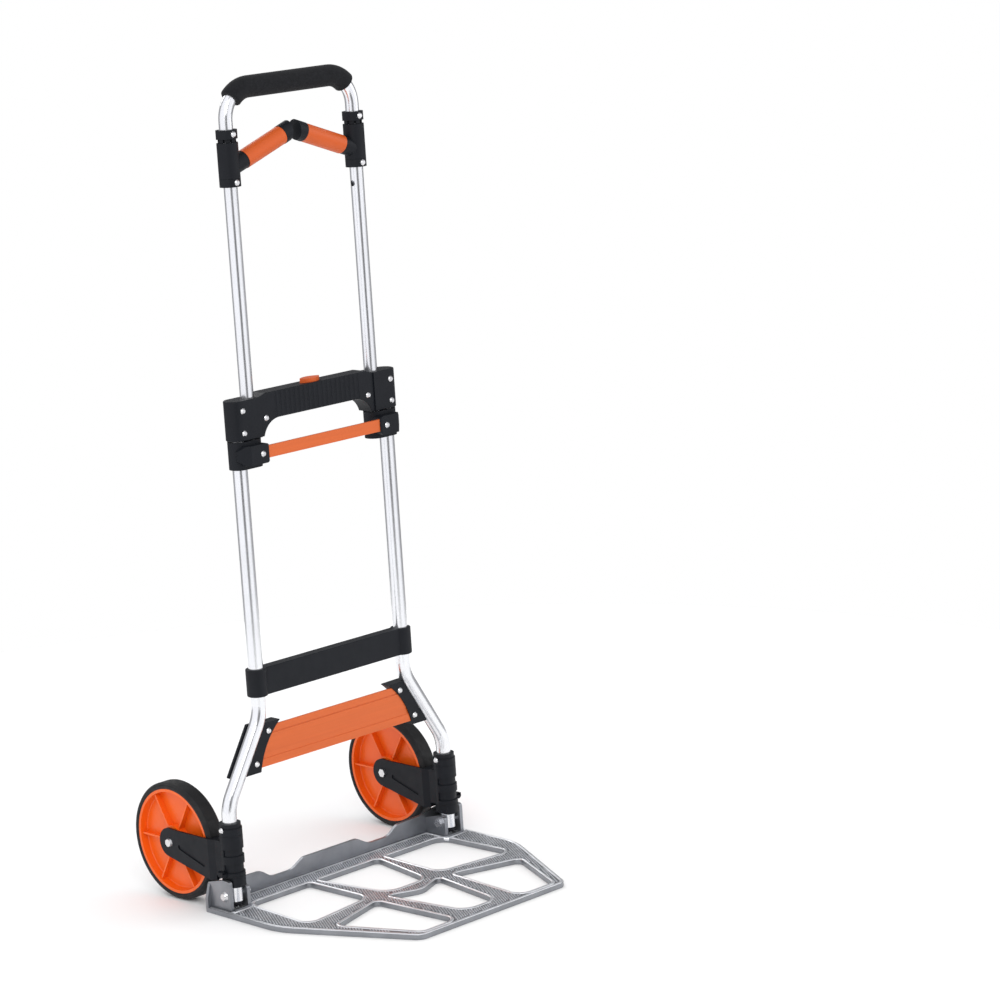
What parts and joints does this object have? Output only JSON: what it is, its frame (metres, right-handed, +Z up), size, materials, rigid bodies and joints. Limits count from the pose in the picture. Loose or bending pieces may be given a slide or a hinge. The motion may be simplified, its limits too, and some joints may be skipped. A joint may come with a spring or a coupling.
{
  "type": "folding hand truck",
  "caption": "Folding aluminium hand truck with a telescopic foam-gripped handle, swivelling side grips, fold-away wheels and a hinged open toe plate.",
  "frame": {"origin": "on the floor under the toe plate, midway between the wheel columns, in the plane of the frame tubes", "axes": "+Z up, +X to the right seen from the loading side, -Y forward along the toe plate"},
  "size_m": [0.49, 0.5235, 1.2045],
  "materials": {
    "tube_aluminium": "satin anodised",
    "black_plastic": "fine grained moulding",
    "orange_plastic": "satin moulding",
    "hub_orange": "semi-gloss moulding",
    "orange_coated": "satin powder coat on sheet",
    "foam": "matt closed-cell foam",
    "tyre_rubber": "matt solid tyre",
    "plate_grey": "painted casting with a textured deck",
    "zinc_steel": "bright zinc",
    "spring_steel": "plain spring wire",
    "bush_grey": "plain bearing plastic"
  },
  "bodies": {
    "frame": {"frame_tube_right": "tube_aluminium", "frame_tube_left": "tube_aluminium", "tube_end_plugs": "black_plastic", "crossbar_front_cover": "black_plastic", "crossbar_back_cover": "black_plastic", "crossbar_screws": "zinc_steel", "button_spring": "spring_steel", "lower_crossbar": "black_plastic", "lower_crossbar_screws": "zinc_steel", "corner_bracket_right": "black_plastic", "corner_bracket_left": "black_plastic", "back_panel": "orange_coated", "panel_rivets": "zinc_steel", "bracket_tube_screws": "zinc_steel", "column_collar_right": "black_plastic", "column_collar_left": "black_plastic", "column_bolts": "zinc_steel", "base_collar_right": "black_plastic", "base_collar_left": "black_plastic"},
    "handle": {"handle_tube": "tube_aluminium", "foam_grip": "foam", "grip_collar_lower_right": "black_plastic", "grip_collar_lower_left": "black_plastic", "grip_collar_upper_right": "black_plastic", "grip_collar_upper_left": "black_plastic", "grip_collar_rivets": "zinc_steel", "slider_right": "black_plastic", "slider_left": "black_plastic", "slider_strap": "orange_coated", "slider_screws": "zinc_steel"},
    "release_button": {"release_button": "orange_plastic"},
    "toe_plate": {"toe_plate": "plate_grey", "hinge_bolts": "zinc_steel", "hinge_nuts": "zinc_steel"},
    "lock_pin_right": {"lock_pin_right": "zinc_steel"},
    "grip_right": {"grip_sleeve_right": "black_plastic", "grip_cover_right": "orange_plastic", "grip_cap_right": "black_plastic"},
    "fork_right": {"fork_right": "black_plastic", "axle_bolt_right": "zinc_steel", "axle_nut_right": "zinc_steel"},
    "wheel_right": {"wheel_hub_right": "hub_orange", "tyre_right": "tyre_rubber", "wheel_bushes_right": "bush_grey"},
    "lock_pin_left": {"lock_pin_left": "zinc_steel"},
    "grip_left": {"grip_sleeve_left": "black_plastic", "grip_cover_left": "orange_plastic", "grip_cap_left": "black_plastic"},
    "fork_left": {"fork_left": "black_plastic", "axle_bolt_left": "zinc_steel", "axle_nut_left": "zinc_steel"},
    "wheel_left": {"wheel_hub_left": "hub_orange", "tyre_left": "tyre_rubber", "wheel_bushes_left": "bush_grey"}
  },
  "joints": [
    {"name": "handle_slide", "type": "slide", "parent": "frame", "child": "handle", "axis": [0, 0, 1], "range_m": [-0.295, 0]},
    {"name": "button_press", "type": "slide", "parent": "frame", "child": "release_button", "axis": [0, 0, 1], "range_m": [-0.0045, 0], "stiffness_N_per_m": 700, "springref_m": 0.004, "deforming": ["button_spring"]},
    {"name": "toe_fold", "type": "hinge", "parent": "frame", "child": "toe_plate", "pos_m": [0, 0, 0.028], "axis": [-1, 0, 0], "range_deg": [0, 90]},
    {"name": "lock_pin_slide_right", "type": "slide", "parent": "frame", "child": "lock_pin_right", "axis": [1, 0, 0], "range_m": [-0.0045, 0]},
    {"name": "grip_swivel_right", "type": "hinge", "parent": "handle", "child": "grip_right", "pos_m": [0.122, 0, 1.0766], "axis": [0, 0, 1], "range_deg": [-90, 90]},
    {"name": "fork_swing_right", "type": "hinge", "parent": "frame", "child": "fork_right", "pos_m": [0.2175, 0, 0.087], "axis": [0, 0, 1], "range_deg": [0, 90]},
    {"name": "wheel_spin_right", "type": "hinge", "parent": "fork_right", "child": "wheel_right", "pos_m": [0.2175, 0.1185, 0.089], "axis": [1, 0, 0], "continuous": true},
    {"name": "lock_pin_slide_left", "type": "slide", "parent": "frame", "child": "lock_pin_left", "axis": [1, 0, 0], "range_m": [0, 0.0045]},
    {"name": "grip_swivel_left", "type": "hinge", "parent": "handle", "child": "grip_left", "pos_m": [-0.122, 0, 1.0766], "axis": [0, 0, 1], "range_deg": [-90, 90]},
    {"name": "fork_swing_left", "type": "hinge", "parent": "frame", "child": "fork_left", "pos_m": [-0.2175, 0, 0.087], "axis": [0, 0, 1], "range_deg": [-90, 0]},
    {"name": "wheel_spin_left", "type": "hinge", "parent": "fork_left", "child": "wheel_left", "pos_m": [-0.2175, 0.1185, 0.089], "axis": [1, 0, 0], "continuous": true}
  ],
  "couplings": [
    {"joint": "lock_pin_slide_right", "follows": "button_press", "ratio": 1},
    {"joint": "fork_swing_right", "follows": "toe_fold", "ratio": 1},
    {"joint": "lock_pin_slide_left", "follows": "button_press", "ratio": -1},
    {"joint": "fork_swing_left", "follows": "toe_fold", "ratio": -1}
  ]
}
